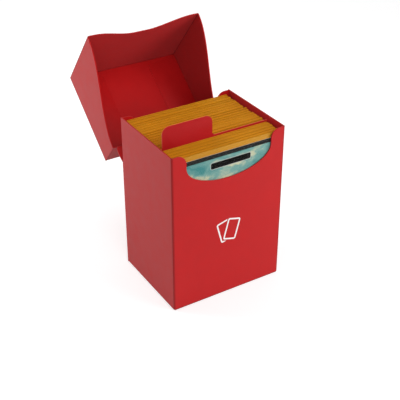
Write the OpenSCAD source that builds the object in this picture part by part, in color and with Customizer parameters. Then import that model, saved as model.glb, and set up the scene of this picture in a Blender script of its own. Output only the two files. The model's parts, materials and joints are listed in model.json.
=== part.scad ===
// Flip-top deck box for sleeved trading cards: a folded plastic sheet body with a thumb notch,
// a cap lid on a double-crease hinge, a loose divider and two stacks of sleeved cards.
// Origin: middle of the footprint, on the table. X to the right, Y to the back, Z up.

/* [Sheet] */
// Thickness of the folded plastic sheet
sheet_t = 0.6; // [0.4:0.05:0.9]

/* [Box] */
// Outer width of the box
box_w = 71.3; // [69:0.1:95]
// Outer depth of the box, outer back panel included
box_d = 56.6; // [36:0.1:90]
// Height of the walls
box_h = 98; // [96:0.5:130]

/* [Thumb notch] */
// Width of the scoop between its straight sides
notch_w = 53.4; // [30:0.2:56]
// Height of the elliptical bottom of the scoop
scoop_h = 12.6; // [6:0.2:20]
// Height of the straight sides above the scoop
notch_side_h = 3.2; // [0.5:0.1:8]
// Radius of the rounded shoulders
shoulder_r = 5.3; // [2:0.1:6]

/* [Bottom] */
// Width of each inner bottom flap
bottom_flap_w = 24; // [12:0.5:30]
// Width of the seam tabs folded behind the inner back panel
seam_tab_w = 15; // [8:0.5:25]

/* [Lid] */
// Clearance beside the box walls
lid_side_gap = 0.3; // [0.2:0.05:1]
// Clearance in front of the front panel
lid_front_gap = 0.5; // [0.3:0.05:1.5]
// Clearance above the rim
lid_top_gap = 0.3; // [0.2:0.05:1]
// Depth of the lid at its front corners
lid_front_h = 47.8; // [36:0.2:56]
// Rise of the front edge in the middle
lid_dip = 7.2; // [0:0.2:10]
// Depth of the lid along the rear fold
lid_rear_h = 18.6; // [12:0.2:24]
// Width of the glued tabs under the top panel
lid_tab_w = 20; // [8:0.5:30]

/* [Hinge] */
// Height of the lower crease on the back
crease_z = 69.5; // [55:0.5:72]
// Half width of the pressed crease line
crease_half = 0.45; // [0.4:0.05:0.8]
// How much narrower the hinge link is at its upper crease, each side
link_taper = 1.8; // [0:0.1:4]
// Angle that the hinge link leans back
link_open = 65; // [0:1:90]
// Angle of the lid past the link
lid_open = 75; // [0:1:105]

/* [Sleeved cards] */
// Width of a card sleeve
sleeve_w = 66; // [60:0.5:68]
// Height of a card sleeve
sleeve_h = 94; // [85:0.5:94]
// Thickness of one sleeved card
sleeve_t = 0.55; // [0.4:0.01:0.6]
// Spacing from one sleeved card to the next
card_pitch = 0.65; // [0.65:0.01:0.9]
// How far the card ends vary to each side
card_shuffle = 0.35; // [0:0.05:0.6]
// Free space between neighbouring loose items
item_gap = 0.15; // [0.1:0.05:0.4]

/* [Front card] */
// Width of the printed card
card_w = 63; // [57:0.5:63]
// Height of the printed card
card_h = 88; // [80:0.5:88]
// Corner radius of the printed card
card_corner_r = 3; // [1:0.5:5]
// Thickness of the printed card
card_t = 0.3; // [0.2:0.01:0.35]
// Thickness of each film of its sleeve
film_t = 0.15; // [0.1:0.01:0.2]
// Width of the weld along the sleeve's edges
weld_w = 1; // [0.5:0.1:1.2]

/* [Divider] */
// Width of the divider
divider_w = 66.4; // [60:0.2:68]
// Height of the divider below its tab
divider_body_h = 83.9; // [70:0.1:84]
// Height of the tab
divider_tab_h = 12.2; // [5:0.1:12.2]
// Width of the tab
divider_tab_w = 30.7; // [15:0.1:40]
// Corner radius of the tab
divider_r = 4.2; // [1:0.1:5]
// Fillet where the tab meets the body
divider_fillet = 2; // [0.5:0.1:3]
// Thickness of the cards in front of the divider
front_stack = 12.2; // [5:0.1:14]
// How far the divider is pulled up
divider_raise = 11; // [0:0.5:11]

/* [Front mark] */
// Height of the mark's centre above the table
mark_z = 43.5; // [25:0.5:60]
// Height of one card outline in the mark
mark_h = 13.6; // [6:0.2:20]
// Angle of each card outline from upright
mark_fan = 15; // [0:1:30]
// Line width of the mark
mark_line = 0.9; // [0.5:0.1:1.5]
// Thickness of the mark's foil
mark_t = 0.05; // [0.02:0.01:0.1]

/* [Hidden] */
$fn = 48;
red = [0.72, 0.13, 0.15];
dark_red = [0.58, 0.09, 0.11];
gold = [0.74, 0.5, 0.16];

// Box walls, from the outside in
front_y = -box_d / 2;
well_front_y = front_y + sheet_t;
back_y = box_d / 2;
outer_back_y = back_y - sheet_t;
seam_y = outer_back_y - sheet_t;
well_back_y = seam_y - sheet_t;
well_w = box_w - 2 * sheet_t;
floor_z = 3 * sheet_t;
seam_margin = 2;
outline_steps = 16;

// Heights of the loose items when they stand on the floor
foot_gap = 0.1;
foot_z = floor_z + foot_gap;
sleeve_top_z = foot_z + sleeve_h;
divider_top_z = foot_z + divider_body_h + divider_tab_h;

// Lid, in its closed place
lid_in_w = box_w + 2 * lid_side_gap;
lid_w = lid_in_w + 2 * sheet_t;
lid_front_y = front_y - lid_front_gap - sheet_t;
lid_d = back_y - lid_front_y;
tab_z = max(box_h, sleeve_top_z, divider_top_z) + lid_top_gap;
lid_under_z = tab_z + sheet_t;
lid_top_z = lid_under_z + sheet_t;
hinge_y = back_y - sheet_t / 2;
link_len = lid_top_z - lid_rear_h - crease_z;
lid_crease_z = crease_z + link_len;
side_lift = crease_half + 0.15;
tab_cut = 3;
dip_flat = 4;
dip_end = 32 / 36 * lid_in_w / 2;

// Loose items, from the front to the back
show_y = well_front_y + item_gap;
show_t = 2 * film_t + card_t;
front_cards_y = show_y + show_t + item_gap;
divider_y = show_y + show_t + front_stack;
rear_cards_y = divider_y + sheet_t + item_gap;
front_space = divider_y - item_gap - front_cards_y;
rear_space = well_back_y - item_gap - rear_cards_y;

function smooth(t) = let(c = max(0, min(1, t))) c * c * (3 - 2 * c);

// One wall's outline with two rounded shoulders and an elliptical scoop between them
module notched_outline(w) {
    half = notch_w / 2;
    scoop_z = box_h - shoulder_r - notch_side_h;
    shoulder = [for (i = [0:8]) let(a = 90 + i * 90 / 8)
        [half + shoulder_r + shoulder_r * cos(a), box_h - shoulder_r + shoulder_r * sin(a)]];
    scoop = [for (i = [0:outline_steps]) let(a = -i * 90 / outline_steps)
        [half * cos(a), scoop_z + scoop_h * sin(a)]];
    right = concat([[w / 2, sheet_t], [w / 2, box_h]], shoulder, scoop);
    count = len(right);
    left = [for (i = [count - 2:-1:0]) [-right[i][0], right[i][1]]];
    polygon(concat(right, left));
}

// A flat panel standing across the depth, its outline drawn in X and Z
module upright(y, t) {
    translate([0, y + t, 0]) rotate([90, 0, 0]) linear_extrude(t) children();
}

module front_panel() {
    color(red) upright(front_y, sheet_t) notched_outline(box_w);
}

module inner_back_panel() {
    color(dark_red) upright(well_back_y, sheet_t) notched_outline(well_w);
}

module side_panel(side) {
    x = side < 0 ? -box_w / 2 : box_w / 2 - sheet_t;
    color(red) translate([x, well_front_y, sheet_t])
        cube([sheet_t, outer_back_y - well_front_y, box_h - sheet_t]);
}

module left_panel() side_panel(-1);

module right_panel() side_panel(1);

module outer_back_panel() {
    color(red) translate([-box_w / 2, outer_back_y, 0])
        cube([box_w, sheet_t, crease_z - crease_half]);
}

module seam_tab(side) {
    edge = well_w / 2;
    low = 2 * sheet_t + seam_margin;
    x = side < 0 ? -edge : edge - seam_tab_w;
    color(dark_red) translate([x, seam_y, low])
        cube([seam_tab_w, sheet_t, crease_z - crease_half - seam_margin - low]);
}

module seam_tab_left() seam_tab(-1);

module seam_tab_right() seam_tab(1);

module bottom_panel() {
    color(red) translate([-box_w / 2, front_y, 0])
        cube([box_w, outer_back_y - front_y, sheet_t]);
}

module bottom_flap(side) {
    x = side < 0 ? -well_w / 2 : well_w / 2 - bottom_flap_w;
    color(dark_red) translate([x, well_front_y, sheet_t])
        cube([bottom_flap_w, well_back_y - well_front_y, sheet_t]);
}

module bottom_flap_left() bottom_flap(-1);

module bottom_flap_right() bottom_flap(1);

module inner_bottom_panel() {
    color(dark_red) translate([-well_w / 2, well_front_y, 2 * sheet_t])
        cube([well_w, well_back_y - well_front_y, sheet_t]);
}

// Two fanned card outlines, the left one passing behind the right one
mark_w = mark_h * 0.62;
mark_spread = mark_h * 0.17;
mark_corner_r = 1.2;

module card_outline(side, grow) {
    core = [mark_w - 2 * mark_corner_r, mark_h - 2 * mark_corner_r];
    rotate(-side * mark_fan) translate([side * mark_spread, 0])
        offset(r = grow + mark_corner_r) square(core, center = true);
}

module front_mark() {
    color("white") upright(front_y - mark_t, mark_t) translate([0, mark_z]) {
        difference() {
            card_outline(-1, 0);
            card_outline(-1, -mark_line);
            card_outline(1, mark_line * 0.8);
        }
        difference() {
            card_outline(1, 0);
            card_outline(1, -mark_line);
        }
    }
}

// Turns the hinge link back from closed about the lower crease
module lean_link() {
    translate([0, hinge_y, crease_z]) rotate([-link_open, 0, 0])
        translate([0, -hinge_y, -crease_z]) children();
}

// Turns the lid back from closed about both creases
module open_lid() {
    lean_link() translate([0, hinge_y, lid_crease_z]) rotate([-lid_open, 0, 0])
        translate([0, -hinge_y, -lid_crease_z]) children();
}

module hinge_link() {
    low = crease_z + crease_half;
    high = lid_crease_z - crease_half;
    wide = box_w / 2;
    edge = [for (i = [0:8]) let(a = i * 90 / 8)
        [wide - link_taper * (1 - cos(a)), low + (high - low) * sin(a)]];
    left = [for (i = [8:-1:0]) [-edge[i][0], edge[i][1]]];
    color(dark_red) lean_link() upright(outer_back_y, sheet_t) polygon(concat(edge, left));
}

module lid_rear_strip() {
    color(red) open_lid() translate([-lid_in_w / 2, outer_back_y, lid_crease_z + crease_half])
        cube([lid_in_w, sheet_t, lid_under_z - lid_crease_z - crease_half]);
}

module lid_top_panel() {
    color(red) open_lid() translate([-lid_w / 2, lid_front_y, lid_under_z])
        cube([lid_w, lid_d, sheet_t]);
}

// Depth of the front flap below the lid's top face, at a place across the lid
function flap_depth(x) = lid_front_h - lid_dip
    + lid_dip * smooth((abs(x) - dip_flat) / (dip_end - dip_flat));

module lid_front_flap() {
    steps = 24;
    edge = [for (i = [0:steps]) let(x = lid_w * (i / steps - 0.5)) [x, lid_top_z - flap_depth(x)]];
    color(red) open_lid() upright(lid_front_y, sheet_t)
        polygon(concat(edge, [[lid_w / 2, lid_under_z], [-lid_w / 2, lid_under_z]]));
}

// Depth of a side below the lid's top face, at a distance from the rear fold
function side_depth(u) = lid_rear_h - side_lift
    + (lid_front_h - lid_rear_h + side_lift) * smooth(u / lid_d);

module lid_side(side) {
    steps = 20;
    length = lid_d - sheet_t;
    edge = [for (i = [0:steps]) let(u = length * i / steps) [back_y - u, lid_top_z - side_depth(u)]];
    x = side < 0 ? -lid_w / 2 : lid_w / 2 - sheet_t;
    color(red) open_lid() translate([x, 0, 0]) rotate([90, 0, 90]) linear_extrude(sheet_t)
        polygon(concat(edge, [[back_y - length, lid_under_z], [back_y, lid_under_z]]));
}

module lid_side_left() lid_side(-1);

module lid_side_right() lid_side(1);

// Glued tab under the top panel, with its free corners cut back
module lid_tab(side) {
    start = lid_front_y + 2 * sheet_t;
    end = outer_back_y - 2 * sheet_t;
    edge = lid_in_w / 2;
    color(dark_red) open_lid() translate([0, 0, tab_z]) linear_extrude(sheet_t)
        polygon([for (p = [[edge, start], [edge, end], [edge - lid_tab_w, end - tab_cut],
                           [edge - lid_tab_w, start + tab_cut]]) [side * p[0], p[1]]]);
}

module lid_tab_left() lid_tab(-1);

module lid_tab_right() lid_tab(1);

// Divider seated height plus a tab offset to the left
module divider_outline() {
    left = -divider_w / 2;
    tab_right = left + divider_tab_w;
    top = divider_body_h + divider_tab_h;
    translate([left, 0]) square([divider_w, divider_body_h]);
    hull() {
        translate([left, divider_body_h]) square([divider_tab_w, 0.1]);
        for (x = [left + divider_r, tab_right - divider_r])
            translate([x, top - divider_r]) circle(divider_r);
    }
    difference() {
        translate([tab_right, divider_body_h]) square(divider_fillet);
        translate([tab_right + divider_fillet, divider_body_h + divider_fillet])
            circle(divider_fillet);
    }
}

module divider() {
    color(red) upright(divider_y, sheet_t) translate([0, foot_z + divider_raise])
        divider_outline();
}

// Sleeved cards standing side by side, their ends shuffled a little
module card_stack(start_y, space, seed) {
    count = floor((space + card_pitch - sleeve_t) / card_pitch);
    pitch = (space - sleeve_t) / max(1, count - 1);
    for (i = [0:count - 1]) {
        shift = card_shuffle * (0.6 * sin(137 * i + seed) + 0.4 * sin(61 * i + seed));
        translate([shift - sleeve_w / 2, start_y + i * pitch, foot_z])
            cube([sleeve_w, sleeve_t, sleeve_h]);
    }
}

module front_cards() {
    color(gold) card_stack(front_cards_y, front_space, 20);
}

module rear_cards() {
    color(gold) card_stack(rear_cards_y, rear_space, 75);
}

// Printed card, standing in the middle of its sleeve
module show_card() {
    w = card_w / 2 - card_corner_r;
    h = card_h - 2 * card_corner_r;
    color("teal") upright(show_y + film_t, card_t)
        translate([0, foot_z + (sleeve_h - card_h) / 2 + card_corner_r])
        hull() for (x = [-w, w], z = [0, h]) translate([x, z]) circle(card_corner_r);
}

// Clear front film with its weld reaching back to the other film
module show_sleeve_front() {
    color([0.85, 0.9, 0.92, 0.35]) {
        upright(show_y, film_t) translate([-sleeve_w / 2, foot_z]) square([sleeve_w, sleeve_h]);
        upright(show_y + film_t, card_t) difference() {
            translate([-sleeve_w / 2, foot_z]) square([sleeve_w, sleeve_h]);
            translate([weld_w - sleeve_w / 2, foot_z + weld_w])
                square([sleeve_w - 2 * weld_w, sleeve_h]);
        }
    }
}

module show_sleeve_back() {
    color(gold) upright(show_y + film_t + card_t, film_t)
        translate([-sleeve_w / 2, foot_z]) square([sleeve_w, sleeve_h]);
}

front_panel();
left_panel();
right_panel();
inner_back_panel();
outer_back_panel();
seam_tab_left();
seam_tab_right();
bottom_panel();
bottom_flap_left();
bottom_flap_right();
inner_bottom_panel();
front_mark();
hinge_link();
lid_top_panel();
lid_rear_strip();
lid_front_flap();
lid_side_left();
lid_side_right();
lid_tab_left();
lid_tab_right();
divider();
front_cards();
rear_cards();
show_sleeve_front();
show_sleeve_back();
show_card();
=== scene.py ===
import json
import math

import bmesh
import bpy
from mathutils import Matrix, Vector


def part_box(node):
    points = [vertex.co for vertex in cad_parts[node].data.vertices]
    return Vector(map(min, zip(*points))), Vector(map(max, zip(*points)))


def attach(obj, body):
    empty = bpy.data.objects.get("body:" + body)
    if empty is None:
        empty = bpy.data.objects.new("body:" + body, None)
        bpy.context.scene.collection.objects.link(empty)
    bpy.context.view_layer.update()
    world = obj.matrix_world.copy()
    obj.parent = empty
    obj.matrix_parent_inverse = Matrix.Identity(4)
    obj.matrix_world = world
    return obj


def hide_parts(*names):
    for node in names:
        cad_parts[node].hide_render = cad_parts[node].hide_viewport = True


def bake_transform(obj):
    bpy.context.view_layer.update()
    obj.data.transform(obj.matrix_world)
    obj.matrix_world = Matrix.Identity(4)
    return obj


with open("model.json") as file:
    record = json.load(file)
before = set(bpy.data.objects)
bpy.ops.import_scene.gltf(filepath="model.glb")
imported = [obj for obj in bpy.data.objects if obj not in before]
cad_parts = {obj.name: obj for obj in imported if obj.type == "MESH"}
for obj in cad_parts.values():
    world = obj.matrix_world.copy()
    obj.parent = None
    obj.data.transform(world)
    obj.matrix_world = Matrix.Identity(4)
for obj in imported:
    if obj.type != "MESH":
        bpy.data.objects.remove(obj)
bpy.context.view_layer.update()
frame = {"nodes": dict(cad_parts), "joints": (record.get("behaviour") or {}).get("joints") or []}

mm = 0.001
print("deck box: frame loaded")


def jointNamed(name):
    return next(j for j in frame["joints"] if j["name"] == name)


def extent(node):
    low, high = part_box(node)
    return high - low


# where the two folds lie, and how far each one stands open
linkFold = jointNamed("link_fold")
lidFold = jointNamed("lid_fold")
lowerCrease = Vector(linkFold["pos_m"])
upperCrease = Vector(lidFold["pos_m"])
linkOpen = math.radians(-linkFold["range_deg"][0])  # closed is the low limit of both folds
lidOpen = math.radians(-lidFold["range_deg"][0])
linkLength = (upperCrease - lowerCrease).length
closedCrease = lowerCrease + Vector((0, 0, linkLength))

# the box's walls
wallLow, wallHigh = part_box("front_panel")
sheet = wallHigh.y - wallLow.y  # thickness of the folded sheet
halfW = wallHigh.x
rimZ = wallHigh.z
frontY = wallLow.y


def turnedAbout(point, angle):
    return (Matrix.Translation(point) @ Matrix.Rotation(-angle, 4, "X")
            @ Matrix.Translation(-point))


linkToRest = turnedAbout(lowerCrease, linkOpen)
lidToRest = linkToRest @ turnedAbout(closedCrease, lidOpen)


def closedExtent(*nodes):  # the box round nodes of the lid when it is closed
    back = lidToRest.inverted()
    points = [back @ v.co for n in nodes for v in frame["nodes"][n].data.vertices]
    low = Vector(min(p[i] for p in points) for i in range(3))
    high = Vector(max(p[i] for p in points) for i in range(3))
    return low, high


lidLow, lidHigh = closedExtent("lid_top_panel", "lid_front_flap", "lid_side_left", "lid_side_right")

meshWork = {
    "weld": 1e-6,    # points closer than this become one
    "sliver": 1e-7,  # edges shorter than this are dissolved
    "sharp": 35,     # degrees between two faces from which their edge stays sharp
}


def smooth(t):
    t = max(0.0, min(1.0, t))
    return t * t * (3 - 2 * t)


def steps(start, end, count, rim=0.0):  # evenly spaced places, with close rows beside both ends
    inner = [start + (end - start) * i / count for i in range(count + 1)]
    if not rim:
        return inner
    sign = 1 if end > start else -1
    return [start, start + sign * rim] + inner[1:-1] + [end - sign * rim, end]


def shares(count, rim):  # the same from 0 to 1, for walls of uneven height
    return [0.0, rim] + [i / count for i in range(1, count)] + [1 - rim, 1.0]


def arc(count):  # quarter turn as sine and cosine pairs
    return [(math.sin(math.pi / 2 * i / count), math.cos(math.pi / 2 * i / count))
            for i in range(count + 1)]


def setMaterial(obj, *materials):
    obj.data.materials.clear()
    for m in materials:
        obj.data.materials.append(m)


def meshObject(name, mesh, *materials):
    obj = bpy.data.objects.new(name, mesh)
    bpy.context.scene.collection.objects.link(obj)
    setMaterial(obj, *materials)
    return obj


def meshFrom(bm, name):
    mesh = bpy.data.meshes.new(name)
    bm.to_mesh(mesh)
    bm.free()
    return mesh


def addPatch(bm, rows):  # a grid of points, each row a list
    grid = [[bm.verts.new(p) for p in row] for row in rows]
    for lower, upper in zip(grid, grid[1:]):
        for i in range(len(lower) - 1):
            bm.faces.new([lower[i], lower[i + 1], upper[i + 1], upper[i]])


def keepShape(obj, name):  # the object keeps what its modifiers make, as a plain mesh
    depsgraph = bpy.context.evaluated_depsgraph_get()
    made = bpy.data.meshes.new_from_object(obj.evaluated_get(depsgraph))
    made.name = name
    old = obj.data
    obj.modifiers.clear()
    obj.data = made
    bpy.data.meshes.remove(old)
    return made


def smoothFaces(mesh, sharp=meshWork["sharp"]):
    mesh.shade_smooth()
    mesh.set_sharp_from_angle(angle=math.radians(sharp))


def markFolds(mesh, values):  # 1 along a fold, where the sheet takes its darker fold colour
    attribute = mesh.attributes.new("fold", "FLOAT", "POINT")
    attribute.data.foreach_set("value", values)


def sheetObject(name, patches, face, edge, fold=None, place=None):  # patches at the sheet's middle
    bm = bmesh.new()
    for rows in patches:
        addPatch(bm, rows)
    bmesh.ops.remove_doubles(bm, verts=bm.verts, dist=meshWork["weld"])
    bmesh.ops.dissolve_degenerate(bm, dist=meshWork["sliver"], edges=bm.edges)
    bmesh.ops.recalc_face_normals(bm, faces=bm.faces)
    obj = meshObject(name, meshFrom(bm, name), face, edge)
    solid = obj.modifiers.new("thickness", "SOLIDIFY")
    solid.thickness = sheet
    solid.offset = 0
    solid.use_even_offset = True
    solid.use_quality_normals = True
    # the rim takes the cut-edge material, with its painted highlight
    solid.material_offset_rim = 1
    made = keepShape(obj, name)
    setMaterial(obj, face, edge)
    if fold is not None:
        markFolds(made, [fold(v.co) for v in made.vertices])
    if place is not None:
        made.transform(place)
    smoothFaces(made)
    return obj


noiseSpan = (0.3, 0.7)  # nearly all of a noise lies between these


def newMaterial(name):
    material = bpy.data.materials.new(name)
    material.use_nodes = True
    nodes = material.node_tree.nodes
    return material, nodes, material.node_tree.links, nodes["Principled BSDF"]


def addNode(nodes, kind, **values):
    node = nodes.new(kind)
    for key, value in values.items():
        if key in node.inputs:
            node.inputs[key].default_value = value
        else:
            setattr(node, key, value)
    return node


def setInputs(node, values):
    for label, value in values.items():
        node.inputs[label].default_value = value


def linkOrSet(links, socket, value):
    if isinstance(value, bpy.types.NodeSocket):
        links.new(value, socket)
    else:
        socket.default_value = value


def objectPlace(nodes):
    return nodes.new("ShaderNodeTexCoord").outputs["Object"]


def noiseNode(nodes, links, vector, scale, detail, roughness, output="Fac"):
    node = addNode(nodes, "ShaderNodeTexNoise", Scale=scale, Detail=detail, Roughness=roughness)
    links.new(vector, node.inputs["Vector"])
    return node.outputs[output]


def rangeNode(nodes, links, value, low, high, toLow, toHigh):
    node = nodes.new("ShaderNodeMapRange")
    setInputs(node, {"From Min": low, "From Max": high, "To Min": toLow, "To Max": toHigh})
    links.new(value, node.inputs["Value"])
    return node.outputs["Result"]


def mixColour(nodes, links, factor, first, second):
    node = addNode(nodes, "ShaderNodeMix", data_type="RGBA")
    sockets = [s for s in node.inputs if s.enabled]
    for socket, value in zip(sockets, (factor, first, second)):
        linkOrSet(links, socket, (*value, 1.0) if isinstance(value, tuple) else value)
    return next(s for s in node.outputs if s.enabled)


def bumpNode(nodes, links, height, distance, strength, normal=None):
    node = addNode(nodes, "ShaderNodeBump", Distance=distance, Strength=strength)
    links.new(height, node.inputs["Height"])
    if normal is not None:
        links.new(normal, node.inputs["Normal"])
    return node.outputs["Normal"]


def toned(colour, factor, added=0.0):
    return tuple(min(1.0, c * factor + added) for c in colour)


# a noise is its scale per metre, its detail and its roughness
# a bump is its depth in metres and its strength
sheetLooks = {
    "grain": (2600.0, 2.0, 0.6),   # fine moulded grain of the plastic sheet
    "grainBump": (0.000012, 0.8),
    "wave": (38.0, 1.0, 0.4),      # slow unevenness of a wide panel
    "waveBump": (0.00007, 0.5),
    "mottle": (160.0, 4.0, 0.6),
    "mottleTones": (0.965, 1.03),  # against the sheet's own colour
    "speckSpan": (0.60, 0.80),     # of the grain, from no speck to a full one
    "speckShare": 0.12,
    "speckTone": (1.6, 0.02),      # the sheet's colour times the first, plus the second
    "foldShare": 0.75,             # of the darker fold colour along a fold
    "roughness": (0.42, 0.50),
    "specular": 0.27,
    "index": 1.49,
    "bloom": 0.11,                 # faint white bloom of a matte sheet at grazing angles
    "bloomRoughness": 0.45,
}

cutLooks = {**sheetLooks, "roughness": (0.32, 0.42)}  # a cut edge is smoother than the face

sheetColours = {  # flat, then the darker colour along folds
    "redSheet": ((0.455, 0.0060, 0.0072), (0.27, 0.004, 0.005)),
    # the cut edges' lighter colour is partly the cut sheet's own look, partly a painted highlight of
    # edges catching the light
    "redCutEdgeWithHighlight": ((0.52, 0.020, 0.022), (0.36, 0.006, 0.007)),
    "dividerSheet": ((0.40, 0.0058, 0.0078), (0.28, 0.004, 0.005)),
    # the divider's lighter, orange cut edge is partly its own colour, partly a painted highlight of
    # its lit top edge
    "dividerCutEdgeWithHighlight": ((0.62, 0.060, 0.016), (0.36, 0.006, 0.007)),
}


def sheetMaterial(name, looks):
    material, nodes, links, shader = newMaterial(name)
    colour, foldColour = sheetColours[name]
    place = objectPlace(nodes)
    grain = noiseNode(nodes, links, place, *looks["grain"])
    mottle = noiseNode(nodes, links, place, *looks["mottle"])
    wave = noiseNode(nodes, links, place, *looks["wave"])
    darker, lighter = [toned(colour, factor) for factor in looks["mottleTones"]]
    spread = rangeNode(nodes, links, mottle, *noiseSpan, 0.0, 1.0)
    tone = mixColour(nodes, links, spread, darker, lighter)
    speck = rangeNode(nodes, links, grain, *looks["speckSpan"], 0.0, looks["speckShare"])
    tone = mixColour(nodes, links, speck, tone, toned(colour, *looks["speckTone"]))
    # darker colour along folds, read from the fold mark
    fold = addNode(nodes, "ShaderNodeAttribute", attribute_name="fold")
    pressed = rangeNode(nodes, links, fold.outputs["Fac"], 0.0, 1.0, 0.0, looks["foldShare"])
    tone = mixColour(nodes, links, pressed, tone, foldColour)
    links.new(tone, shader.inputs["Base Color"])
    rough = rangeNode(nodes, links, mottle, *noiseSpan, *looks["roughness"])
    links.new(rough, shader.inputs["Roughness"])
    setInputs(shader, {"Specular IOR Level": looks["specular"], "IOR": looks["index"],
                       "Sheen Weight": looks["bloom"], "Sheen Roughness": looks["bloomRoughness"]})
    slow = bumpNode(nodes, links, wave, *looks["waveBump"])
    fine = bumpNode(nodes, links, grain, *looks["grainBump"], slow)
    links.new(fine, shader.inputs["Normal"])
    return material


goldLooks = {
    "fine": (900.0, 3.0, 0.6),
    "broad": (70.0, 3.0, 0.5),
    "shade": 0.22,              # how far single sleeves go towards the shaded gold
    "roughness": (0.38, 0.50),
    "metallic": 0.15,
    "specular": 0.4,
    "bump": (0.00001, 0.6),
}

goldColours = {  # deep, pale and shaded
    "goldSleeveFilm": ((0.64, 0.285, 0.0120), (0.70, 0.320, 0.0150), (0.50, 0.2, 0.01)),
    # painted light: the stacked sleeves' gold is a lighter copy of the film's gold, brightened to
    # offset the shade in the narrow slots between the sleeves
    "goldSleeveMouthsLit": ((0.87, 0.360, 0.0135), (0.93, 0.410, 0.0170), (0.50, 0.185, 0.005)),
}


def goldFilm(name):
    material, nodes, links, shader = newMaterial(name)
    deep, pale, shaded = goldColours[name]
    place = objectPlace(nodes)
    fine = noiseNode(nodes, links, place, *goldLooks["fine"])
    broad = noiseNode(nodes, links, place, *goldLooks["broad"])
    tone = mixColour(nodes, links, rangeNode(nodes, links, broad, *noiseSpan, 0, 1), deep, pale)
    island = nodes.new("ShaderNodeNewGeometry").outputs["Random Per Island"]
    shade = rangeNode(nodes, links, island, 0, 1, 0.0, goldLooks["shade"])
    tone = mixColour(nodes, links, shade, tone, shaded)
    links.new(tone, shader.inputs["Base Color"])
    rough = rangeNode(nodes, links, fine, *noiseSpan, *goldLooks["roughness"])
    links.new(rough, shader.inputs["Roughness"])
    setInputs(shader, {"Metallic": goldLooks["metallic"], "Specular IOR Level": goldLooks["specular"]})
    links.new(bumpNode(nodes, links, fine, *goldLooks["bump"]), shader.inputs["Normal"])
    return material


clearLooks = {
    "fine": (500.0, 3.0, 0.6),
    "tones": ((0.010, 0.011, 0.011), (0.024, 0.026, 0.026)),
    "alpha": 0.06,
    "roughness": (0.14, 0.24),
    "bump": (0.000008, 0.5),
}


def clearFilm():
    material, nodes, links, shader = newMaterial("clearSleeveFilm")
    fine = noiseNode(nodes, links, objectPlace(nodes), *clearLooks["fine"])
    tone = mixColour(nodes, links, fine, *clearLooks["tones"])
    links.new(tone, shader.inputs["Base Color"])
    setInputs(shader, {"Alpha": clearLooks["alpha"]})
    rough = rangeNode(nodes, links, fine, *noiseSpan, *clearLooks["roughness"])
    links.new(rough, shader.inputs["Roughness"])
    links.new(bumpNode(nodes, links, fine, *clearLooks["bump"]), shader.inputs["Normal"])
    return material


coreLooks = {
    "fibre": (1500.0, 4.0, 0.7),
    "tones": ((0.62, 0.60, 0.55), (0.80, 0.78, 0.73)),
    "roughness": 0.75,
    "bump": (0.00001, 0.6),
}


def cardCore():
    material, nodes, links, shader = newMaterial("cardCore")
    fibre = noiseNode(nodes, links, objectPlace(nodes), *coreLooks["fibre"])
    tone = mixColour(nodes, links, fibre, *coreLooks["tones"])
    links.new(tone, shader.inputs["Base Color"])
    setInputs(shader, {"Roughness": coreLooks["roughness"]})
    links.new(bumpNode(nodes, links, fibre, *coreLooks["bump"]), shader.inputs["Normal"])
    return material


foilLooks = {
    "pores": (2400.0, 2.0, 0.6),
    "wornSpan": (0.66, 0.78),   # of the pores, from whole foil to worn
    "wornShare": 0.5,
    "white": (0.83, 0.81, 0.80),
    "worn": (0.62, 0.20, 0.20),
    "roughness": 0.45,
    "bump": (0.00001, 0.5),
}


def whiteFoil():
    material, nodes, links, shader = newMaterial("whiteFoil")
    pores = noiseNode(nodes, links, objectPlace(nodes), *foilLooks["pores"])
    worn = rangeNode(nodes, links, pores, *foilLooks["wornSpan"], 0.0, foilLooks["wornShare"])
    tone = mixColour(nodes, links, worn, foilLooks["white"], foilLooks["worn"])
    links.new(tone, shader.inputs["Base Color"])
    setInputs(shader, {"Roughness": foilLooks["roughness"]})
    links.new(bumpNode(nodes, links, pores, *foilLooks["bump"]), shader.inputs["Normal"])
    return material


inkLooks = {
    "dots": (1800.0, 2.0, 0.6),
    "dotTones": (0.85, 1.15),   # against the ink's own colour
    "roughness": 0.35,
    "specular": 0.06,
    "bump": (0.000006, 0.5),
}

inkColours = {
    "borderInk": (0.020, 0.021, 0.021),
    "plateInk": (0.0030, 0.0026, 0.0024),
    "silverInk": (0.58, 0.59, 0.56),
    "paleInk": (0.60, 0.55, 0.42),
}


def inkMaterial(name):
    material, nodes, links, shader = newMaterial(name)
    dots = noiseNode(nodes, links, objectPlace(nodes), *inkLooks["dots"])
    darker, lighter = [toned(inkColours[name], factor) for factor in inkLooks["dotTones"]]
    tone = mixColour(nodes, links, rangeNode(nodes, links, dots, *noiseSpan, 0, 1), darker, lighter)
    links.new(tone, shader.inputs["Base Color"])
    setInputs(shader, {"Roughness": inkLooks["roughness"], "Specular IOR Level": inkLooks["specular"]})
    links.new(bumpNode(nodes, links, dots, *inkLooks["bump"]), shader.inputs["Normal"])
    return material


pictureLooks = {
    "stretch": (1.0, 1.0, 1.7),
    "turn": (0.0, 0.5, 0.0),
    "bend": (90.0, 3.0, 0.5),
    "bendBy": (0.012, 0.0, 0.012),
    "cloud": (55.0, 5.0, 0.55),
    "stops": (0.40, 0.54, 0.62, 0.74),  # where the deep, middle, pale and brightest tones lie
    "brightest": 1.15,                  # against the pale tone
    "roughness": 0.32,
    "specular": 0.15,
}

pictures = {  # deep, middle and pale tone, then the pattern's shift
    "tealPicture": ((0.060, 0.27, 0.27), (0.20, 0.41, 0.37), (0.62, 0.63, 0.42), (-0.008, 0.0, 0.022)),
    "duskPicture": ((0.10, 0.07, 0.20), (0.36, 0.16, 0.22), (0.72, 0.45, 0.25), (0.05, 0.0, 0.01)),
    "forestPicture": ((0.03, 0.12, 0.05), (0.14, 0.28, 0.10), (0.50, 0.52, 0.22), (0.02, 0.0, 0.06)),
}


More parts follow.
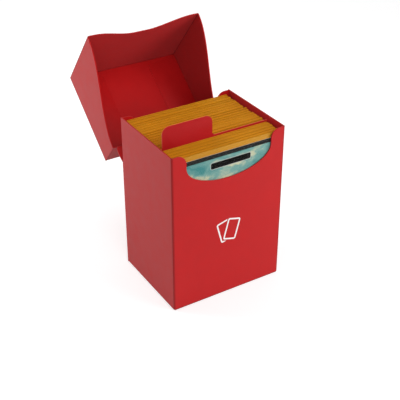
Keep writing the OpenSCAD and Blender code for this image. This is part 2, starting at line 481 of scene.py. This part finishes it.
def cloudPicture(name):
    material, nodes, links, shader = newMaterial(name)
    *tones, shift = pictures[name]
    tones.append(toned(tones[-1], pictureLooks["brightest"]))
    mapping = nodes.new("ShaderNodeMapping")
    setInputs(mapping, {"Location": shift, "Scale": pictureLooks["stretch"],
                        "Rotation": pictureLooks["turn"]})
    links.new(objectPlace(nodes), mapping.inputs["Vector"])
    mapped = mapping.outputs["Vector"]
    bend = noiseNode(nodes, links, mapped, *pictureLooks["bend"], "Color")
    bent = addNode(nodes, "ShaderNodeVectorMath", operation="MULTIPLY_ADD")
    for socket, value in zip(bent.inputs, (bend, pictureLooks["bendBy"], mapped)):
        linkOrSet(links, socket, value)
    cloud = noiseNode(nodes, links, bent.outputs["Vector"], *pictureLooks["cloud"])
    ramp = nodes.new("ShaderNodeValToRGB")
    elements = ramp.color_ramp.elements
    stops = pictureLooks["stops"]
    elements[0].position = stops[0]
    elements[1].position = stops[1]
    for stop in stops[2:]:
        elements.new(stop)
    for element, stop, tone in zip(elements, stops, tones):
        element.position = stop
        element.color = (*tone, 1)
    links.new(cloud, ramp.inputs["Fac"])
    links.new(ramp.outputs["Color"], shader.inputs["Base Color"])
    setInputs(shader, {"Roughness": pictureLooks["roughness"],
                       "Specular IOR Level": pictureLooks["specular"]})
    return material


redSheet = sheetMaterial("redSheet", sheetLooks)
redEdgeWithHighlight = sheetMaterial("redCutEdgeWithHighlight", cutLooks)
dividerSheet = sheetMaterial("dividerSheet", sheetLooks)
dividerEdgeWithHighlight = sheetMaterial("dividerCutEdgeWithHighlight", cutLooks)
goldSleeve = goldFilm("goldSleeveFilm")
goldMouthsLit = goldFilm("goldSleeveMouthsLit")
clearSleeve = clearFilm()
cardStock = cardCore()
foil = whiteFoil()
borderInk = inkMaterial("borderInk")
plateInk = inkMaterial("plateInk")
silverInk = inkMaterial("silverInk")
paleInk = inkMaterial("paleInk")
tealPicture = cloudPicture("tealPicture")
duskPicture = cloudPicture("duskPicture")
forestPicture = cloudPicture("forestPicture")
print("deck box: materials ready")

notch = {
    "scoopHalf": 26.7 * mm,
    "scoopH": 12.6 * mm,
    "scoopSteps": 16,
    "shoulder": 5.3 * mm,
    "shoulderSteps": 10,
    "side": 3.2 * mm,         # straight sides between the shoulders and the scoop
    "step": 0.02 * mm,        # two columns this far apart make a straight side
}

boxSheet = {
    "foldRadius": 0.45 * mm,  # at the middle of the sheet
    "foldSteps": 4,
    "rim": 0.5 * mm,          # close rows beside an edge or a fold
    "rimShare": 0.006,        # the same as a share of a wall's height
    "wallRows": 14,
    "sideColumns": 12,
    "bottomRows": 10,
    "innerRows": 10,
    "nearFold": 0.85 * mm,    # how far from a wall's middle the darker fold colour reaches
    "rearRoom": 0.06 * mm,    # free in front of the closed lid's rear strip
}


def notchOutline(halfWidth):  # places across a notched wall with the height of its top there
    scoopHalf = notch["scoopHalf"]
    scoopH = notch["scoopH"]
    shoulder = notch["shoulder"]
    scoopZ = rimZ - shoulder - notch["side"]
    right = [(0.0, scoopZ - scoopH)]
    for s, c in arc(notch["scoopSteps"])[1:]:
        right.append((scoopHalf * s, scoopZ - scoopH * c))
    for s, c in arc(notch["shoulderSteps"]):
        right.append((scoopHalf + notch["step"] + shoulder * (1 - c), rimZ - shoulder + shoulder * s))
    right += [(halfWidth - boxSheet["rim"], rimZ), (halfWidth, rimZ)]
    left = [(-x, z) for x, z in reversed(right[1:])]
    return left + right


def buildBoxSheet():
    r = boxSheet["foldRadius"]
    half = sheet / 2
    wallX = halfW - half
    wallY = frontY + half
    bottomZ = half
    foldTop = bottomZ + r
    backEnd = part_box("left_panel")[1].y - boxSheet["rearRoom"]
    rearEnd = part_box("bottom_panel")[1].y
    quarter = arc(boxSheet["foldSteps"])
    fractions = shares(boxSheet["wallRows"], boxSheet["rimShare"])
    outline = notchOutline(wallX - r)

    def column(x, y, top):
        return [Vector((x, y, foldTop + (top - foldTop) * f)) for f in fractions]

    front = [[Vector((x, wallY, foldTop + (top - foldTop) * f)) for x, top in outline]
             for f in fractions]
    patches = [front]
    for side in (-1, 1):
        patches.append([column(side * (wallX - r + r * s), wallY + r - r * c, rimZ)
                        for s, c in quarter])
        patches.append([column(side * wallX, y, rimZ)
                        for y in steps(wallY + r, backEnd, boxSheet["sideColumns"], boxSheet["rim"])])
    across = [x for x, top in outline]
    patches.append([[Vector((x, wallY + r - r * s, bottomZ + r - r * c)) for x in across]
                    for s, c in quarter])
    patches.append([[Vector((x, y, bottomZ)) for x in across]
                    for y in steps(wallY + r, rearEnd, boxSheet["bottomRows"], boxSheet["rim"])])

    def pressed(p):
        near = boxSheet["nearFold"]
        atFront = abs(p.y - wallY) < near
        return 1.0 if atFront and (abs(abs(p.x) - wallX) < near or abs(p.z - bottomZ) < near) else 0.0

    obj = sheetObject("boxSheet", patches, redSheet, redEdgeWithHighlight, pressed)
    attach(obj, "root")
    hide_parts("front_panel", "left_panel", "right_panel", "bottom_panel")


def buildInnerBack():
    low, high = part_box("inner_back_panel")
    middle = (low.y + high.y) / 2
    outline = notchOutline(high.x)
    rows = [[Vector((x, middle, low.z + (top - low.z) * f)) for x, top in outline]
            for f in shares(boxSheet["innerRows"], boxSheet["rimShare"])]
    obj = sheetObject("innerBack", [rows], redSheet, redEdgeWithHighlight)
    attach(obj, "root")
    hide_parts("inner_back_panel")


buildBoxSheet()
buildInnerBack()
print("deck box: folded box made")

lidSheet = {
    "foldRadius": 0.5 * mm,
    "foldSteps": 4,
    "rim": 0.5 * mm,
    "acrossRows": 36,
    "alongRows": 26,
    "wallRows": 12,
    "stripRows": 6,
    "dip": 7.2 * mm,        # rise of the front edge in the middle
    "dipFlat": 4.0 * mm,
    "dipReach": 32 / 36,    # share of the half width where the rise has run out
    "nearFold": 0.85 * mm,
    "rearStep": 0.02 * mm,  # the side walls' rear ends stop this much short
}


def buildLid():
    r = lidSheet["foldRadius"]
    rim = lidSheet["rim"]
    half = sheet / 2
    wallX = lidHigh.x - half
    wallY = lidLow.y + half
    topZ = lidHigh.z - half
    stripY = lowerCrease.y
    stripEnd = closedExtent("lid_rear_strip")[0].z
    rearY = lidHigh.y
    frontDepth = lidHigh.z - lidLow.z
    rearDepth = lidHigh.z - stripEnd
    quarter = arc(lidSheet["foldSteps"])
    baseX = wallX - r
    frontBase = wallY + r
    rearBase = stripY - r
    dipEnd = lidSheet["dipReach"] * wallX
    xs = steps(-baseX, baseX, lidSheet["acrossRows"], rim)
    ys = steps(rearBase, frontBase, lidSheet["alongRows"], rim)

    def flapEdge(x):
        t = (abs(x) - lidSheet["dipFlat"]) / (dipEnd - lidSheet["dipFlat"])
        return lidHigh.z - frontDepth + lidSheet["dip"] * (1 - smooth(t))

    def sideEdge(y):
        u = (rearY - y) / (rearY - lidLow.y)
        return lidHigh.z - rearDepth - (frontDepth - rearDepth) * smooth(u)

    def column(px, py, dx, dy, edge):
        points = [Vector((px + dx * r * s, py + dy * r * s, topZ - r + r * c)) for s, c in quarter]
        for z in steps(topZ - r, edge, lidSheet["wallRows"], rim)[1:]:
            points.append(Vector((px + dx * r, py + dy * r, z)))
        return points

    patches = [[[Vector((x, y, topZ)) for x in xs] for y in ys]]
    patches.append([column(x, frontBase, 0, -1, flapEdge(x)) for x in xs])
    for side in (-1, 1):
        patches.append([column(side * baseX, y, side, 0, sideEdge(y))
                        for y in [rearY - lidSheet["rearStep"]] + ys])
        patches.append([column(side * baseX, frontBase, side * c, -s, flapEdge(side * wallX))
                        for s, c in quarter])
    patches.append([[Vector((x, rearBase + r * s, topZ - r + r * c)) for x in xs] for s, c in quarter])
    patches.append([[Vector((x, stripY, z)) for x in xs]
                    for z in steps(topZ - r, stripEnd, lidSheet["stripRows"], rim)])

    def pressed(p):
        near = lidSheet["nearFold"]
        atX = abs(abs(p.x) - wallX) < near
        atFront = abs(p.y - wallY) < near
        atTop = abs(p.z - topZ) < near
        atRear = abs(p.y - stripY) < near
        folds = (atX and atFront) or (atX and atTop) or (atFront and atTop) or (atRear and atTop)
        return 1.0 if folds else 0.0

    obj = sheetObject("lidSheet", patches, redSheet, redEdgeWithHighlight, pressed, lidToRest)
    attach(obj, "lid")
    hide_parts("lid_top_panel", "lid_rear_strip", "lid_front_flap", "lid_side_left",
                "lid_side_right")


buildLid()
print("deck box: lid made")

creaseWeb = {
    "reach": 0.72 * mm,       # from the crease's middle into each panel
    "free": 0.45 * mm,        # half width of the pressed line
    "thick": 0.50 * mm,       # inside the panels
    "thin": 0.24 * mm,        # in the middle of the crease
    "halfRows": 8,
    "columns": 40,
    "tip": 0.09 * mm,         # the fold is slightly round
    "tipFall": 2.6,           # how fast the roundness dies away from the middle
    "pressed": 0.8,           # how much of the darker fold colour the web takes
    "sharp": 50,              # degrees, as in meshWork
    "lowerInset": 0.05 * mm,  # free at both ends of the crease
    "upperInset": 1.85 * mm,
}


def creaseRing(centre, toFirst, toSecond):  # the web's section, outer side and then inner side
    count = creaseWeb["halfRows"]
    tip = (toFirst + toSecond) * creaseWeb["tip"]
    middle = []
    for i in range(-count, count + 1):
        t = abs(i) / count
        along = toFirst if i < 0 else toSecond
        p = centre + along * creaseWeb["reach"] * t
        middle.append((p + tip * max(0.0, 1 - t * creaseWeb["tipFall"]), t))
    outer, inner = [], []
    for i, (p, t) in enumerate(middle):
        before = middle[max(0, i - 1)][0]
        after = middle[min(len(middle) - 1, i + 1)][0]
        run = (after - before).normalized()
        normal = Vector((0, -run.z, run.y))
        share = smooth(t * creaseWeb["reach"] / creaseWeb["free"])
        thick = creaseWeb["thin"] + (creaseWeb["thick"] - creaseWeb["thin"]) * share
        outer.append(p + normal * thick / 2)
        inner.append(p - normal * thick / 2)
    return outer + list(reversed(inner))


def buildCrease(name, centre, toFirst, toSecond, halfWidth):
    ring = creaseRing(centre, toFirst, toSecond)
    bm = bmesh.new()
    rings = [[bm.verts.new(Vector((x, p.y, p.z))) for p in ring]
             for x in steps(-halfWidth, halfWidth, creaseWeb["columns"])]
    for a, b in zip(rings, rings[1:]):
        for i in range(len(ring)):
            j = (i + 1) % len(ring)
            bm.faces.new([a[i], a[j], b[j], b[i]])
    count = len(ring) // 2
    for cap in (rings[0], rings[-1]):
        for i in range(count - 1):
            bm.faces.new([cap[i], cap[i + 1], cap[2 * count - 2 - i], cap[2 * count - 1 - i]])
    bmesh.ops.recalc_face_normals(bm, faces=bm.faces)
    mesh = meshFrom(bm, name)
    markFolds(mesh, [creaseWeb["pressed"]] * len(mesh.vertices))
    smoothFaces(mesh, creaseWeb["sharp"])
    obj = meshObject(name, mesh, redSheet)
    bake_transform(obj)


down = Vector((0, 0, -1))
linkRun = (upperCrease - lowerCrease).normalized()
lidUp = lidToRest.to_3x3() @ Vector((0, 0, 1))
stripRun = lidUp.normalized()
lowerHalf = extent("hinge_link").x / 2 - creaseWeb["lowerInset"]
upperHalf = extent("hinge_link").x / 2 - creaseWeb["upperInset"]
buildCrease("lowerCrease", lowerCrease, down, linkRun, lowerHalf)
buildCrease("upperCrease", upperCrease, -linkRun, stripRun, upperHalf)
print("deck box: creases made")

# flat panels are the frame's own shapes with softened cut edges
flatPanel = {
    "bevel": 0.09 * mm,
    "bevelRows": 2,
    "bevelFrom": 50,    # degrees between two faces
    "gluedBevel": 0.5,  # share of the bevel on a glued tab
    "glued": 0.35,      # share of its thickness that a glued tab keeps after pressing
    "flatLimit": 1,     # degrees up to which the frame's triangles are one face
    "faceLimit": 0.75,  # faces that point less than this along the sheet's normal are cut edge
}


def buildPanel(node, body, face, edge, pressed=None):
    source = bmesh.new()
    source.from_mesh(frame["nodes"][node].data)
    bmesh.ops.remove_doubles(source, verts=source.verts, dist=meshWork["weld"])
    bmesh.ops.dissolve_limit(source, angle_limit=math.radians(flatPanel["flatLimit"]),
                             verts=source.verts, edges=source.edges)
    source.faces.ensure_lookup_table()
    across = max(source.faces, key=lambda f: f.calc_area()).normal.copy()
    if pressed is not None:  # pressed flat against the panel that it is glued to
        heights = [v.co.dot(across) for v in source.verts]
        anchor = max(heights) if pressed.dot(across) > 0 else min(heights)
        for v in source.verts:
            gap = v.co.dot(across) - anchor
            v.co -= across * gap * (1 - flatPanel["glued"])
    name = node + "Sheet"
    obj = meshObject(name, meshFrom(source, name), face, edge)
    bevel = obj.modifiers.new("softEdges", "BEVEL")
    bevel.width = flatPanel["bevel"] * (flatPanel["gluedBevel"] if pressed is not None else 1)
    bevel.segments = flatPanel["bevelRows"]
    bevel.limit_method = "ANGLE"
    bevel.angle_limit = math.radians(flatPanel["bevelFrom"])
    made = keepShape(obj, name)
    setMaterial(obj, face, edge)
    for polygon in made.polygons:
        flat = abs(polygon.normal.dot(across)) > flatPanel["faceLimit"]
        polygon.material_index = 0 if flat else 1
    smoothFaces(made)
    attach(obj, body)
    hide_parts(node)


for node in ("outer_back_panel", "seam_tab_left", "seam_tab_right", "bottom_flap_left",
             "bottom_flap_right", "inner_bottom_panel"):
    buildPanel(node, "root", redSheet, redEdgeWithHighlight)
buildPanel("hinge_link", "link", redSheet, redEdgeWithHighlight)
for node in ("lid_tab_left", "lid_tab_right"):
    buildPanel(node, "lid", redSheet, redEdgeWithHighlight, lidUp)
buildPanel("divider", "divider", dividerSheet, dividerEdgeWithHighlight)
setMaterial(frame["nodes"]["front_mark"], foil)
setMaterial(frame["nodes"]["show_sleeve_front"], clearSleeve)
setMaterial(frame["nodes"]["show_sleeve_back"], goldSleeve)
print("deck box: flat panels made")

sleevedCard = {
    "spacing": 0.65 * mm,     # from one sleeved card to the next, about
    "backFilm": 0.17 * mm,
    "frontFilm": 0.05 * mm,
    "cardThick": 0.26 * mm,
    "printRoom": 0.04 * mm,   # left for the printed layers on a card's face
    "cardW": 63 * mm,
    "cardH": 88 * mm,
    "cardCorner": 3 * mm,
    "sleeveCorner": 0.4 * mm,
    "cornerSteps": 4,
    "packet": 4,              # cards that were pushed in together
    "packetShuffle": 0.44 * mm,
    "shuffle": 0.17 * mm,     # how far a card stands to one side in its packet
    "slump": 0.16 * mm,       # how much lower a sleeve's mouth sits than the tallest
    "packetDrop": 0.75 * mm,  # about one card of each packet sits this much lower
    "packetSpread": 1.2,      # and may come this many cards early
}

stackSeeds = {
    "front_cards": 5,
    "rear_cards": 23,
    "shuffle": 3,             # this and the rest are added to a stack's own seed
    "packetShuffle": 7,
    "slump": 11,
    "packetSpread": 17,
}


def maths(tree, operation, first, second):
    node = addNode(tree.nodes, "ShaderNodeMath", operation=operation)
    linkOrSet(tree.links, node.inputs[0], first)
    linkOrSet(tree.links, node.inputs[1], second)
    return node.outputs[0]


def randomBetween(tree, given, low, high, draw, identity=None):
    node = addNode(tree.nodes, "FunctionNodeRandomValue", data_type="FLOAT")
    seed = maths(tree, "ADD", given["Seed"], stackSeeds[draw])
    tree.links.new(seed, node.inputs["Seed"])
    if identity is not None:
        tree.links.new(identity, node.inputs["ID"])
    lowest, highest = [s for s in node.inputs if s.enabled and s.name in ("Min", "Max")]
    linkOrSet(tree.links, lowest, low)
    linkOrSet(tree.links, highest, high)
    return next(s for s in node.outputs if s.enabled)


def eitherSide(tree, given, reach, draw, identity=None):
    return randomBetween(tree, given, maths(tree, "MULTIPLY", reach, -1), reach, draw, identity)


def cardPoints(tree, given, index):  # one point for each card, shuffled card by card and by packet
    nodes, links = tree.nodes, tree.links
    line = addNode(nodes, "GeometryNodeMeshLine", mode="OFFSET")
    pitch = nodes.new("ShaderNodeCombineXYZ")
    links.new(given["Pitch"], pitch.inputs["Y"])
    links.new(given["Count"], line.inputs["Count"])
    links.new(given["Start"], line.inputs["Start Location"])
    links.new(pitch.outputs["Vector"], line.inputs["Offset"])
    packetNumber = maths(tree, "FLOOR", maths(tree, "DIVIDE", index, given["Packet"]), 0)
    own = eitherSide(tree, given, given["Shuffle"], "shuffle")
    ofPacket = eitherSide(tree, given, given["Packet Shuffle"], "packetShuffle", packetNumber)
    shift = nodes.new("ShaderNodeCombineXYZ")
    links.new(maths(tree, "ADD", own, ofPacket), shift.inputs["X"])
    shifted = nodes.new("GeometryNodeSetPosition")
    links.new(line.outputs["Mesh"], shifted.inputs["Geometry"])
    links.new(shift.outputs["Vector"], shifted.inputs["Offset"])
    return shifted.outputs["Geometry"]


def uprightCard(tree, given, size):  # a closed plate with round corners that stands on its start
    nodes, links = tree.nodes, tree.links
    outline = nodes.new("GeometryNodeCurvePrimitiveQuadrilateral")
    links.new(size["X"], outline.inputs["Width"])
    links.new(size["Z"], outline.inputs["Height"])
    rounded = addNode(nodes, "GeometryNodeFilletCurve", mode="POLY", Count=sleevedCard["cornerSteps"])
    links.new(outline.outputs["Curve"], rounded.inputs["Curve"])
    links.new(given["Corner"], rounded.inputs["Radius"])
    filled = addNode(nodes, "GeometryNodeFillCurve", mode="NGONS")
    links.new(rounded.outputs["Curve"], filled.inputs["Curve"])
    raised = addNode(nodes, "GeometryNodeExtrudeMesh", Individual=False)
    links.new(filled.outputs["Mesh"], raised.inputs["Mesh"])
    links.new(size["Y"], raised.inputs["Offset Scale"])
    turned = nodes.new("GeometryNodeFlipFaces")
    links.new(filled.outputs["Mesh"], turned.inputs["Mesh"])
    joined = nodes.new("GeometryNodeJoinGeometry")
    links.new(turned.outputs["Mesh"], joined.inputs["Geometry"])
    links.new(raised.outputs["Mesh"], joined.inputs["Geometry"])
    welded = addNode(nodes, "GeometryNodeMergeByDistance", Distance=meshWork["weld"])
    links.new(joined.outputs["Geometry"], welded.inputs["Geometry"])
    stand = nodes.new("ShaderNodeCombineXYZ")
    links.new(maths(tree, "MULTIPLY", size["Z"], 0.5), stand.inputs["Z"])
    upright = addNode(nodes, "GeometryNodeTransform", Rotation=(math.pi / 2, 0, 0))
    links.new(welded.outputs["Geometry"], upright.inputs["Geometry"])
    links.new(stand.outputs["Vector"], upright.inputs["Translation"])
    return upright.outputs["Geometry"]


def cardHeights(tree, given, index, size):  # slumped sleeves, and a lower one about once a packet
    lowered = randomBetween(tree, given, 0.0, given["Slump"], "slump")
    early = randomBetween(tree, given, 0.0, sleevedCard["packetSpread"], "packetSpread")
    place = maths(tree, "MODULO", maths(tree, "ADD", index, early), given["Packet"])
    lowOne = maths(tree, "LESS_THAN", place, 1.0)
    drop = maths(tree, "ADD", lowered, maths(tree, "MULTIPLY", lowOne, given["Packet Drop"]))
    height = addNode(tree.nodes, "ShaderNodeCombineXYZ", X=1, Y=1)
    share = maths(tree, "SUBTRACT", 1.0, maths(tree, "DIVIDE", drop, size["Z"]))
    tree.links.new(share, height.inputs["Z"])
    return height.outputs["Vector"]


def stackTree(name):
    tree = bpy.data.node_groups.new(name, "GeometryNodeTree")
    face = tree.interface
    face.new_socket("Geometry", in_out="OUTPUT", socket_type="NodeSocketGeometry")
    for label, kind in (("Count", "Int"), ("Pitch", "Float"), ("Start", "Vector"),
                        ("Size", "Vector"), ("Corner", "Float"), ("Shuffle", "Float"),
                        ("Packet Shuffle", "Float"), ("Packet", "Int"), ("Packet Drop", "Float"),
                        ("Slump", "Float"), ("Seed", "Int"), ("Material", "Material")):
        face.new_socket(label, in_out="INPUT", socket_type="NodeSocket" + kind)
    nodes, links = tree.nodes, tree.links
    given = nodes.new("NodeGroupInput").outputs
    result = nodes.new("NodeGroupOutput")
    index = nodes.new("GeometryNodeInputIndex").outputs[0]
    parts = nodes.new("ShaderNodeSeparateXYZ")
    links.new(given["Size"], parts.inputs["Vector"])
    placed = nodes.new("GeometryNodeInstanceOnPoints")
    links.new(cardPoints(tree, given, index), placed.inputs["Points"])
    links.new(uprightCard(tree, given, parts.outputs), placed.inputs["Instance"])
    links.new(cardHeights(tree, given, index, parts.outputs), placed.inputs["Scale"])
    real = nodes.new("GeometryNodeRealizeInstances")
    links.new(placed.outputs["Instances"], real.inputs["Geometry"])
    painted = nodes.new("GeometryNodeSetMaterial")
    links.new(real.outputs["Geometry"], painted.inputs["Geometry"])
    links.new(given["Material"], painted.inputs["Material"])
    links.new(painted.outputs["Geometry"], result.inputs["Geometry"])
    return tree


stackNodes = stackTree("sleevedStack")


def runTree(name, tree, settings, material):
    holder = meshObject(name, bpy.data.meshes.new(name))
    modifier = holder.modifiers.new("nodes", "NODES")
    modifier.node_group = tree
    sockets = {s.name: s.identifier for s in tree.interface.items_tree if s.in_out == "INPUT"}
    for label, value in settings.items():
        modifier[sockets[label]] = value
    modifier[sockets["Material"]] = material
    holder.update_tag()
    bpy.context.view_layer.update()
    keepShape(holder, name)
    return holder


def buildStack(node):  # gives the middle, the face and the top edge of the stack's first card
    low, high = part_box(node)
    depth = high.y - low.y
    sleeveW = extent("show_sleeve_back").x
    sleeveH = high.z - low.z
    cardW, cardH = sleevedCard["cardW"], sleevedCard["cardH"]
    frontFilm, backFilm = sleevedCard["frontFilm"], sleevedCard["backFilm"]
    thick, room = sleevedCard["cardThick"], sleevedCard["printRoom"]
    count = round(depth / sleevedCard["spacing"])
    pitch = (depth - frontFilm - room - thick - backFilm) / (count - 1)
    lift = (sleeveH - cardH) / 2
    shared = {"Count": count, "Pitch": pitch, "Seed": stackSeeds[node],
              "Shuffle": sleevedCard["shuffle"], "Packet": sleevedCard["packet"],
              "Packet Shuffle": sleevedCard["packetShuffle"]}
    film = {"Slump": sleevedCard["slump"], "Packet Drop": sleevedCard["packetDrop"],
            "Corner": sleevedCard["sleeveCorner"]}
    y = low.y + frontFilm
    clear = runTree(node + "Clear", stackNodes, {
        **shared, **film, "Start": (0, y, low.z), "Size": (sleeveW, frontFilm, sleeveH)}, clearSleeve)
    y += room + thick
    cards = runTree(node + "Cards", stackNodes, {
        **shared, "Start": (0, y, low.z + lift), "Size": (cardW, thick, cardH),
        "Corner": sleevedCard["cardCorner"], "Slump": 0.0, "Packet Drop": 0.0}, cardStock)
    y += backFilm
    # the stacked sleeves take the lighter gold copy, with painted light against the shade between them
    gold = runTree(node + "Gold", stackNodes, {
        **shared, **film, "Start": (0, y, low.z), "Size": (sleeveW, backFilm, sleeveH)}, goldMouthsLit)
    for obj in (clear, cards, gold):
        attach(obj, node)
    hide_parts(node)
    faceY = low.y + frontFilm + room
    nextCard = faceY + pitch / 2 + thick / 2
    first = [v.co for v in cards.data.vertices if v.co.y < nextCard]
    middle = (min(p.x for p in first) + max(p.x for p in first)) / 2
    return middle, faceY, low.z + lift + cardH


frontFirst = buildStack("front_cards")
rearFirst = buildStack("rear_cards")
print("deck box: card stacks made")

cardFace = {
    "border": 2.55 * mm,
    "layer": 0.012 * mm,     # each print layer stands this far before the one below
    "thinLayer": 0.5,        # share of a layer that the upper prints have
    "pictureCorner": 0.7 * mm,
    "plateW": 25.8 * mm,
    "plateH": 4.3 * mm,
    "plateX": 1.3 * mm,
    "plateDrop": 6.95 * mm,  # from the card's top edge to the middle of the name plate
    "plateCorner": 0.8 * mm,
    "frameLine": 0.32 * mm,
    "frameCorner": 1.1 * mm,
    "inside": 0.02 * mm,     # the print stops this far inside the card's edges
    "bandDrop": 8.5 * mm,    # from the card's middle down to the lower band
    "bandW": 51 * mm,
    "bandH": 4.6 * mm,
    "panelH": 23 * mm,
    "panelRise": 1.5 * mm,   # from the lower border
    "panelCorner": 1 * mm,
    "cornerSteps": 6,
}


def roundedOutline(cx, cz, w, h, r):
    count = cardFace["cornerSteps"]
    points = []
    for k, (sx, sz) in enumerate(((1, 1), (-1, 1), (-1, -1), (1, -1))):
        for i in range(count + 1):
            a = math.pi / 2 * (k + i / count)
            points.append((cx + sx * (w / 2 - r) + r * math.cos(a),
                           cz + sz * (h / 2 - r) + r * math.sin(a)))
    return points


def plate(name, outline, y, thickness, material, body):
    bm = bmesh.new()
    front = [bm.verts.new((x, y, z)) for x, z in outline]
    back = [bm.verts.new((x, y + thickness, z)) for x, z in outline]
    bm.faces.new(front)
    bm.faces.new(list(reversed(back)))
    for i in range(len(outline)):
        j = (i + 1) % len(outline)
        bm.faces.new([front[i], back[i], back[j], front[j]])
    bmesh.ops.recalc_face_normals(bm, faces=bm.faces)
    obj = meshObject(name, meshFrom(bm, name), material)
    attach(obj, body)
    return obj


def printedFace(name, body, centreX, y, topZ, picture, slot):  # y is the front of the card's core
    w, h = sleevedCard["cardW"], sleevedCard["cardH"]
    layer, thin = cardFace["layer"], cardFace["thinLayer"]
    border, line = cardFace["border"], cardFace["frameLine"]
    inside = cardFace["inside"]
    wide, panelH = cardFace["bandW"], cardFace["panelH"]
    midZ = topZ - h / 2

    def add(tag, cx, cz, width, height, r, rank, share, material):
        outline = roundedOutline(cx, cz, width, height, r)
        return plate(name + tag, outline, y - rank * layer, layer * share, material, body)

    add("Border", centreX, midZ, w - inside, h - inside, sleevedCard["cardCorner"], 1, 1, borderInk)
    add("Picture", centreX, midZ, w - 2 * border, h - 2 * border, cardFace["pictureCorner"], 2, 1,
        picture)
    plateX, plateZ = centreX + cardFace["plateX"], topZ - cardFace["plateDrop"]
    bandZ = midZ - cardFace["bandDrop"]
    for tag, cx, cz, bw, bh in (("Name", plateX, plateZ, cardFace["plateW"], cardFace["plateH"]),
                                ("Band", centreX, bandZ, wide, cardFace["bandH"])):
        add(tag + "Line", cx, cz, bw, bh, cardFace["frameCorner"], 2 + thin, thin, silverInk)
        add(tag + "Plate", cx, cz, bw - 2 * line, bh - 2 * line, cardFace["plateCorner"], 3, thin,
            plateInk)
    panelZ = topZ - h + border + cardFace["panelRise"] + panelH / 2
    add("Panel", centreX, panelZ, wide, panelH, cardFace["panelCorner"], 2 + thin, thin, paleInk)


def buildShowCard():
    low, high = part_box("show_card")
    room = sleevedCard["printRoom"]
    w, h = high.x - low.x, high.z - low.z
    outline = roundedOutline(0.0, (low.z + high.z) / 2, w, h, sleevedCard["cardCorner"])
    core = plate("showCardCore", outline, low.y + room, high.y - low.y - room, cardStock, "show_card")
    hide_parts("show_card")
    printedFace("showCard", "show_card", 0.0, low.y + room, high.z, tealPicture, "printed_card")


buildShowCard()
printedFace("firstFrontCard", "front_cards", *frontFirst, duskPicture, "sleeved_cards")
printedFace("firstRearCard", "rear_cards", *rearFirst, forestPicture, "sleeved_cards")
print("deck box: printed cards made")

studio = {
    "worldFill": 0.32,
    "worldGloss": 0.28,
    "white": (1, 1, 1, 1),
    "floor": (0.70, 0.70, 0.70),
    "floorRoughness": 0.9,
    "floorSpecular": 0.1,
    "floorSize": 4.0,
    "floorDrop": 0.0002,     # under the box, so that their faces don't lie in one plane
    "floorGlow": 0.48,       # lights the floor's own look only
    "softboxAim": (0, 0, 0.06),
    "lens": 77.8,
    "sensor": 36,
    "near": 0.01,
    "far": 20,
    "target": (-0.00125, 0.0, 0.04777),
    "distance": 0.4991,
    "azimuth": -31.5,
    "elevation": 31.82,
}

softboxes = {
    "keySoftbox": {"place": (0.24, -0.21, 0.12), "size": 0.18, "power": 0.46},
    "leftSoftbox": {"place": (-0.27, 0.33, 0.31), "size": 0.30, "power": 1.38},
}

widePanels = {
    "skyPanel": {"shines": (-0.42, 0.50, -0.757), "spread": 28, "strength": 0.70},
    "frontPanel": {"shines": (0.24, 0.86, -0.45), "spread": 50, "strength": 1.14},
}


def buildFloor():
    bm = bmesh.new()
    bmesh.ops.create_grid(bm, x_segments=2, y_segments=2, size=studio["floorSize"])
    mesh = meshFrom(bm, "studioFloor")
    mesh.transform(Matrix.Translation((0, 0, -studio["floorDrop"])))
    material, nodes, links, shader = newMaterial("studioFloorPaint")
    setInputs(shader, {"Base Color": (*studio["floor"], 1), "Roughness": studio["floorRoughness"],
                       "Specular IOR Level": studio["floorSpecular"],
                       "Emission Color": studio["white"]})
    path = nodes.new("ShaderNodeLightPath")
    glow = rangeNode(nodes, links, path.outputs["Is Camera Ray"], 0, 1, 0, studio["floorGlow"])
    links.new(glow, shader.inputs["Emission Strength"])
    floor = meshObject("studioFloor", mesh, material)


def addLight(name, light, shines):
    obj = bpy.data.objects.new(name, light)
    bpy.context.scene.collection.objects.link(obj)
    obj.rotation_euler = Vector(shines).to_track_quat("-Z", "Y").to_euler()
    obj.visible_glossy = False  # the sheet mirrors only the even room
    return obj


def addSoftbox(name, place, size, power):
    light = bpy.data.lights.new(name, "AREA")
    light.shape = "SQUARE"
    light.size = size
    light.energy = power
    obj = addLight(name, light, Vector(studio["softboxAim"]) - Vector(place))
    obj.location = place


def addWidePanel(name, shines, spread, strength):  # so far away that it lights everything alike
    light = bpy.data.lights.new(name, "SUN")
    light.energy = strength
    light.angle = math.radians(spread)
    addLight(name, light, shines)


def buildLight():
    world = bpy.data.worlds.new("studioAir")
    world.use_nodes = True
    nodes, links = world.node_tree.nodes, world.node_tree.links
    background = nodes["Background"]
    background.inputs["Color"].default_value = studio["white"]
    path = nodes.new("ShaderNodeLightPath")
    strength = addNode(nodes, "ShaderNodeMix", A=studio["worldFill"], B=studio["worldGloss"])
    links.new(path.outputs["Is Glossy Ray"], strength.inputs["Factor"])
    seen = addNode(nodes, "ShaderNodeMix", B=1.0)  # the camera sees plain white
    links.new(path.outputs["Is Camera Ray"], seen.inputs["Factor"])
    links.new(strength.outputs["Result"], seen.inputs["A"])
    links.new(seen.outputs["Result"], background.inputs["Strength"])
    bpy.context.scene.world = world
    for name, light in softboxes.items():
        addSoftbox(name, **light)
    for name, light in widePanels.items():
        addWidePanel(name, **light)


def buildCamera():
    a = math.radians(studio["azimuth"])
    e = math.radians(studio["elevation"])
    back = Vector((math.sin(a) * math.cos(e), -math.cos(a) * math.cos(e), math.sin(e)))
    camera = bpy.data.cameras.new("camera")
    camera.lens = studio["lens"]
    camera.sensor_width = studio["sensor"]
    camera.clip_start = studio["near"]
    camera.clip_end = studio["far"]
    obj = bpy.data.objects.new("camera", camera)
    bpy.context.scene.collection.objects.link(obj)
    obj.location = Vector(studio["target"]) + back * studio["distance"]
    obj.rotation_euler = (-back).to_track_quat("-Z", "Y").to_euler()
    bpy.context.scene.camera = obj


buildFloor()
buildLight()
buildCamera()
bpy.context.scene.view_settings.view_transform = "Standard"
print("deck box: stage ready")
